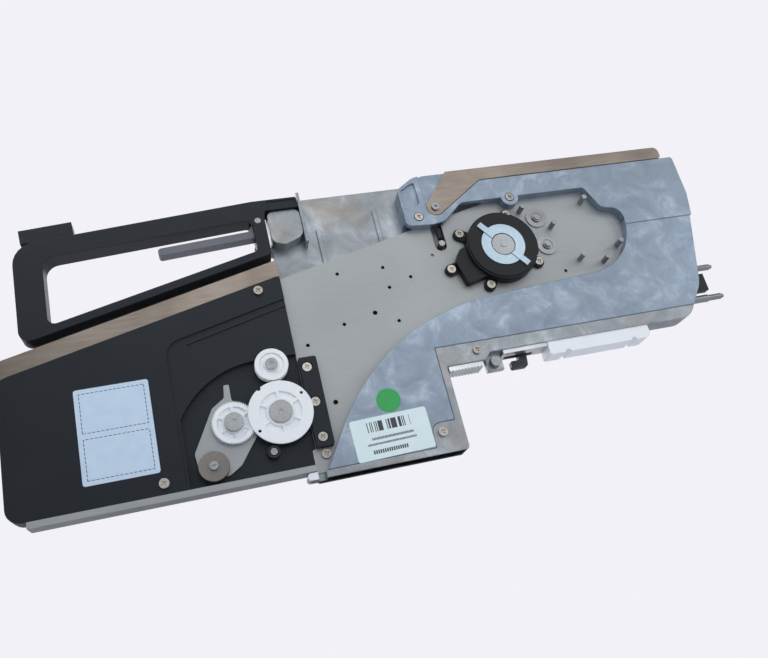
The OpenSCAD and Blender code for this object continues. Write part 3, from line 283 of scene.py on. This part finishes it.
# --- Shafts, posts, pins, bearings and hubs ---------------------------------
# Free-cutting steel, turned on a lathe and pressed or riveted into plate and
# castings. The tool leaves close marks that break up the shine.
coat(brushed_steel("turned steel, bright", "#7C7E80", "#A8ABAE", roughness=0.34,
                   lines_per_metre=(700, 900, 700)),
     "lever_pivot", "spring_post", "motor_shaft", "reduction_shaft", "transfer_shaft",
     "shaft_bearings", "idler_pin", "tape_sprocket", "sprocket_shaft", "plate_posts",
     "guide_pin", "release_pins", "film_axles", "film_hub", "small_hub", "locator_pins")

# --- Screws -----------------------------------------------------------------
# Pan-head machine screws of nickel-plated steel hold plate, motor, castings
# and housing. The plating is bright and slightly yellow.
coat(brushed_steel("nickel-plated steel", "#8E8A82", "#C2BEB6", roughness=0.34,
                   lines_per_metre=(600, 600, 600)),
     "plate_screws", "motor_screws", "casting_fixings", "frame_screws", "rear_screws")

# --- Motor's round plate ----------------------------------------------------
# A pressed steel disc on the end face of the motor, round its shaft. The
# passivated coat turns the light a pale blue-white.
coat(brushed_steel("passivated steel, pale blue", "#96ACBA", "#BACDD9", roughness=0.40,
                   lines_per_metre=(500, 500, 500)), "motor_plate")

# --- Motor pinion -----------------------------------------------------------
# The small gear pressed on the motor's shaft behind the plate. It is hobbed
# from brass bar and left bare, so it is the one warm, golden piece.
coat(brushed_steel("brass, hobbed", "#9C7A36", "#D9B768", roughness=0.30,
                   lines_per_metre=(500, 700, 500)), "motor_pinion")

# --- Blackened springs and hook ---------------------------------------------
# The clamp hook and the two springs are hardened steel, dipped in hot black
# oxide against rust: nearly black, with a dull metallic gleam on edges.
coat(brushed_steel("black oxide steel", "#24262A", "#4A4D52", roughness=0.38,
                   lines_per_metre=(400, 400, 400)), "clamp_hook", "arm_spring", "lever_spring")


# --- Black mouldings --------------------------------------------------------
# Handle, rear housing, block, panel and connector are moulded in glass-filled
# black nylon and screwed on. The motor's shell and the grey keys and trigger
# are moulded too, a little smoother.
def moulded(name, dark, pale, roughness, grit_mm, relief, **sockets):
    # A spark-eroded mould leaves fine even grit, so the surface is satin and
    # its highlights are broad and soft.
    shade_mm, grit_depth, edge_radius = 26.3, 0.0001, 0.0006
    made, tree, shader, where = finish_of(name, roughness, **sockets)
    shade = add_node(tree, "ShaderNodeTexNoise", {
        "Vector": where, "Scale": every(shade_mm), "Detail": 3.0})
    mixed = add_node(tree, "ShaderNodeMix", {
        AMOUNT: shade.outputs["Fac"], ONE: linear(dark), OTHER: linear(pale)}, data_type="RGBA")
    grit = add_node(tree, "ShaderNodeTexNoise", {
        "Vector": where, "Scale": every(grit_mm), "Detail": 2.0})
    edge = add_node(tree, "ShaderNodeBevel", {"Radius": edge_radius}, samples=4)
    bump = add_node(tree, "ShaderNodeBump", {
        "Height": grit.outputs["Fac"], "Strength": relief, "Distance": grit_depth,
        "Normal": edge.outputs[0]})
    tree.links.new(mixed.outputs[BLEND], shader.inputs["Base Color"])
    tree.links.new(bump.outputs[0], shader.inputs["Normal"])
    return made


coat(moulded("glass-filled nylon, black", "#10161C", "#1A222A", roughness=0.48, grit_mm=0.5,
             relief=0.34, **{"Specular IOR Level": 0.30}),
     "handle", "rear_housing", "bracket_block", "control_panel", "dock_connector")
coat(moulded("motor shell, black", "#0C0E10", "#15181B", roughness=0.46, grit_mm=0.4,
             relief=0.30, **{"Specular IOR Level": 0.32}), "motor_housing")
coat(moulded("grey keys, moulded", "#5A5F66", "#6E747C", roughness=0.42, grit_mm=0.5,
             relief=0.25),
     "feed_button", "back_button", "peel_button", "release_trigger")

# --- Acetal gears, roller and guides ----------------------------------------
# Film gears, guide roller, guide block and foot slider are moulded in white
# acetal, pushed on their pins. Light enters a little way, so they look milky
# and waxy. The drive gears are the same plastic in its natural cream.
milky = {"Subsurface Weight": 0.12, "Subsurface Radius": (0.0012, 0.0013, 0.0015),
         "Subsurface Scale": 1.0}
coat(moulded("acetal, milky white", "#EAF1F7", "#F7FAFD", roughness=0.38, grit_mm=0.8,
             relief=0.12, **milky),
     "film_gear", "small_gear", "guide_roller", "foot_slider", "guide_block")
coat(moulded("acetal, natural", "#D8D0BE", "#EAE4D4", roughness=0.40, grit_mm=0.8,
             relief=0.12),
     "reduction_gear", "transfer_gear", "idler_gear", "sprocket_gear")

# --- Pinch roller -----------------------------------------------------------
# The knurled roller on the swing arm, which grips the cover tape. It is
# sintered from steel powder and turns on a pin, and its pores leave it dull.
coat(brushed_steel("sintered steel, knurled", "#6F6C69", "#928E8A", roughness=0.50,
                   lines_per_metre=(900, 900, 900)), "pinch_roller")

# --- Status lamp ------------------------------------------------------------
# A small light guide, moulded in clear green plastic and pressed into the
# panel beside the keys. It is unlit, with a glassy gloss.
coat(moulded("light guide, green", "#2FA95C", "#46C777", roughness=0.18, grit_mm=2.0,
             relief=0.05, **{"Coat Weight": 0.4}), "status_lamp")

# --- Lever spring -----------------------------------------------------------
# A close-wound steel tension spring in its slot, hooked over the post. It
# stands for the plain rings of the frame.
turns, steps, wire_r, coil_r = 13, 14, 0.00028, 0.0015
spring_low, spring_high = (Vector(c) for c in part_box("lever_spring"))
spring_x = (spring_low.x + spring_high.x) / 2
spring_y = (spring_low.y + spring_high.y) / 2
coil = bpy.data.curves.new("lever_coil", "CURVE")
coil.dimensions = "3D"
coil.bevel_depth = wire_r
coil.bevel_resolution = 2
line = coil.splines.new("POLY")
line.points.add(turns * steps)
for i, point in enumerate(line.points):
    angle = i * math.tau / steps
    climb = (spring_high.z - spring_low.z - 2 * wire_r) * i / (turns * steps)
    point.co = (spring_x + coil_r * math.cos(angle), spring_y + coil_r * math.sin(angle),
                spring_low.z + wire_r + climb, 1)
lever_coil = bpy.data.objects.new("lever_coil", coil)
bpy.context.collection.objects.link(lever_coil)
bpy.ops.object.select_all(action="DESELECT")
lever_coil.select_set(True)
bpy.context.view_layer.objects.active = lever_coil
bpy.ops.object.convert(target="MESH")
lever_coil = bpy.context.object
bpy.ops.object.shade_smooth()
lever_coil.data.materials.clear()
lever_coil.data.materials.append(bpy.data.materials["black oxide steel"])
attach(lever_coil, "frame")
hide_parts("lever_spring")

# --- Stickers ---------------------------------------------------------------
# Printed vinyl and coated paper, glued flat on the lower casting and the rear
# housing, each a thin plate with round corners. They carry no wording: a
# green dot, a code patch, two dashed frames.
sticker_t, corner_r = 0.00008, 0.0015


def sticker(name, x, z, width, height, face_y, turn, material):
    bpy.ops.object.select_all(action="DESELECT")
    bpy.ops.mesh.primitive_cube_add(size=1, location=(x, face_y - sticker_t / 2, z),
                                    scale=(width, sticker_t, height))
    piece = bpy.context.object
    piece.name = name
    bpy.ops.object.transform_apply(location=False, rotation=False, scale=True)
    bpy.ops.object.mode_set(mode="EDIT")
    bpy.ops.mesh.select_mode(type="EDGE")
    bpy.ops.mesh.select_all(action="DESELECT")
    bpy.ops.object.mode_set(mode="OBJECT")
    for edge in piece.data.edges:
        a, b = (piece.data.vertices[v].co for v in edge.vertices)
        edge.select = abs(a.y - b.y) > sticker_t / 2
    bpy.ops.object.mode_set(mode="EDIT")
    bpy.ops.mesh.bevel(offset=corner_r, segments=10, profile=0.5)
    bpy.ops.object.mode_set(mode="OBJECT")
    piece.rotation_euler = (0, -math.radians(turn), 0)
    bpy.ops.object.transform_apply(location=True, rotation=True, scale=True)
    piece.data.materials.append(material)
    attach(piece, "frame")
    return piece


def vinyl(name, colour, shade, roughness):
    # Printed film under a thin clear laminate: an even colour, barely worn,
    # with a weak second shine over the matt print.
    wear_mm = 6.25
    made, tree, shader, where = finish_of(
        name, roughness, **{"Coat Weight": 0.25, "Coat Roughness": 0.2})
    worn = add_node(tree, "ShaderNodeTexNoise", {
        "Vector": where, "Scale": every(wear_mm), "Detail": 4.0})
    mixed = add_node(tree, "ShaderNodeMix", {
        AMOUNT: worn.outputs["Fac"], ONE: linear(colour), OTHER: linear(shade)},
        data_type="RGBA")
    tree.links.new(mixed.outputs[BLEND], shader.inputs["Base Color"])
    return made, tree, shader, where, mixed.outputs[BLEND]


dot_x, dot_z, dot_r, dot_t, dot_rim, dot_rise = 0.004, 0.037, 0.00725, 0.0001, 0.0003, 0.00003
cover_low = Vector(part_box("side_cover")[0])
green = vinyl("green vinyl", "#009A44", "#04A84E", 0.38)[0]
bpy.ops.object.select_all(action="DESELECT")
bpy.ops.mesh.primitive_cylinder_add(vertices=72, radius=dot_r, depth=dot_t,
                                    rotation=(math.pi / 2, 0, 0),
                                    location=(dot_x, cover_low.y - dot_t / 2, dot_z))
dot = bpy.context.object
dot.name = "green_dot"
bpy.ops.object.transform_apply(location=True, rotation=True, scale=True)
bpy.ops.object.mode_set(mode="EDIT")
bpy.ops.mesh.select_mode(type="FACE")
bpy.ops.mesh.select_all(action="DESELECT")
bpy.ops.object.mode_set(mode="OBJECT")
for face in dot.data.polygons:
    face.select = face.normal.y < -0.9
bpy.ops.object.mode_set(mode="EDIT")
bpy.ops.mesh.inset(thickness=dot_rim, depth=dot_rise)
bpy.ops.object.mode_set(mode="OBJECT")
dot.data.materials.append(green)
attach(dot, "frame")


def ink_block(tree, across, along, left, right, bottom, top):
    # 1 inside a rectangle of the sticker and 0 outside it
    block = 1.0
    for value, edge, test in ((across, left, "GREATER_THAN"), (across, right, "LESS_THAN"),
                              (along, bottom, "GREATER_THAN"), (along, top, "LESS_THAN")):
        inside = add_node(tree, "ShaderNodeMath", {0: value, 1: edge}, operation=test)
        block = add_node(tree, "ShaderNodeMath", {0: block, 1: inside.outputs[0]},
                         operation="MULTIPLY").outputs[0]
    return block


def print_on(tree, shader, base, ink, colour):
    printed = add_node(tree, "ShaderNodeMix", {
        AMOUNT: ink, ONE: base, OTHER: linear(colour)}, data_type="RGBA")
    tree.links.new(printed.outputs[BLEND], shader.inputs["Base Color"])


# The code patch: one row of bars, each stripe inked by chance, over three rows
# of short dashes. It encodes nothing.
label_x, label_z, label_w, label_h, label_turn = 0.0015, 0.0168, 0.046, 0.0245, 1.5
stripe_mm, bare_share, dash_gap = 0.55, 0.45, 0.3
bars_left, bars_right, bars_bottom, bars_top = -0.0135, 0.0125, 0.0035, 0.0095
paper, tree, shader, where, base = vinyl("label paper, pale", "#D6EDF2", "#E6F5F8", 0.42)
place = add_node(tree, "ShaderNodeMapping", {
    "Vector": where, "Rotation": (0, math.radians(label_turn), 0)}, vector_type="POINT")
spread = add_node(tree, "ShaderNodeSeparateXYZ", {0: place.outputs[0]})
across_x, along_z = spread.outputs[0], spread.outputs[2]
stripe = add_node(tree, "ShaderNodeMath", {0: across_x, 1: every(stripe_mm)},
                  operation="MULTIPLY")
stripe = add_node(tree, "ShaderNodeMath", {0: stripe.outputs[0]}, operation="FLOOR")
chance = add_node(tree, "ShaderNodeTexWhiteNoise", {"W": stripe.outputs[0]},
                  noise_dimensions="1D")
bar = add_node(tree, "ShaderNodeMath", {0: chance.outputs["Value"], 1: bare_share},
               operation="GREATER_THAN")
bars = ink_block(tree, across_x, along_z, label_x + bars_left, label_x + bars_right,
                 label_z + bars_bottom, label_z + bars_top)
ink = add_node(tree, "ShaderNodeMath", {0: bar.outputs[0], 1: bars}, operation="MULTIPLY")
for bottom, top, left, right, dash_mm in ((-0.0012, 0.0002, -0.012, 0.013, 0.8),
                                          (-0.0042, -0.0030, -0.015, 0.014, 0.7),
                                          (-0.0092, -0.0070, -0.013, 0.008, 1.3)):
    dash = add_node(tree, "ShaderNodeMath", {0: across_x, 1: every(dash_mm)},
                    operation="MULTIPLY")
    dash = add_node(tree, "ShaderNodeMath", {0: dash.outputs[0]}, operation="FRACT")
    dash = add_node(tree, "ShaderNodeMath", {0: dash.outputs[0], 1: dash_gap},
                    operation="GREATER_THAN")
    block = ink_block(tree, across_x, along_z, label_x + left, label_x + right,
                      label_z + bottom, label_z + top)
    row = add_node(tree, "ShaderNodeMath", {0: dash.outputs[0], 1: block}, operation="MULTIPLY")
    ink = add_node(tree, "ShaderNodeMath", {0: ink.outputs[0], 1: row.outputs[0]},
                   operation="MAXIMUM")
print_on(tree, shader, base, ink.outputs[0], "#2B333B")
code_label = sticker("code_label", label_x, label_z, label_w, label_h, cover_low.y,
                     label_turn, paper)

# The notice: two empty frames of dashed lines, one above the other. The dashes
# run on a slant, so that they break upright and level lines alike.
note_x, note_z, note_w, note_h = -0.147, 0.048, 0.040, 0.054
box_half, box_near, box_far, line_w, dash_mm = 0.0175, 0.0015, 0.0245, 0.0004, 2.4
housing_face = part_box("rear_housing")[0][1]
notice, tree, shader, where, base = vinyl("notice vinyl, light blue", "#BCD6EE", "#CFE2F4", 0.42)
spread = add_node(tree, "ShaderNodeSeparateXYZ", {0: where})
across_x, along_z = spread.outputs[0], spread.outputs[2]
outlines = []
for bottom, top in ((note_z - box_far, note_z - box_near), (note_z + box_near, note_z + box_far)):
    outer, inner = (ink_block(tree, across_x, along_z, note_x - box_half + step,
                              note_x + box_half - step, bottom + step, top - step)
                    for step in (0, line_w))
    outlines.append(add_node(tree, "ShaderNodeMath", {0: outer, 1: inner},
                             operation="SUBTRACT").outputs[0])
lines = add_node(tree, "ShaderNodeMath", {0: outlines[0], 1: outlines[1]}, operation="MAXIMUM")
run = add_node(tree, "ShaderNodeMath", {0: across_x, 1: along_z}, operation="ADD")
run = add_node(tree, "ShaderNodeMath", {0: run.outputs[0], 1: every(dash_mm)},
               operation="MULTIPLY")
dash = add_node(tree, "ShaderNodeMath", {0: run.outputs[0]}, operation="FRACT")
dash = add_node(tree, "ShaderNodeMath", {0: dash.outputs[0], 1: dash_gap},
                operation="GREATER_THAN")
ink = add_node(tree, "ShaderNodeMath", {0: lines.outputs[0], 1: dash.outputs[0]},
               operation="MULTIPLY")
print_on(tree, shader, base, ink.outputs[0], "#22303C")
notice_label = sticker("notice_label", note_x, note_z, note_w, note_h, housing_face, 0, notice)
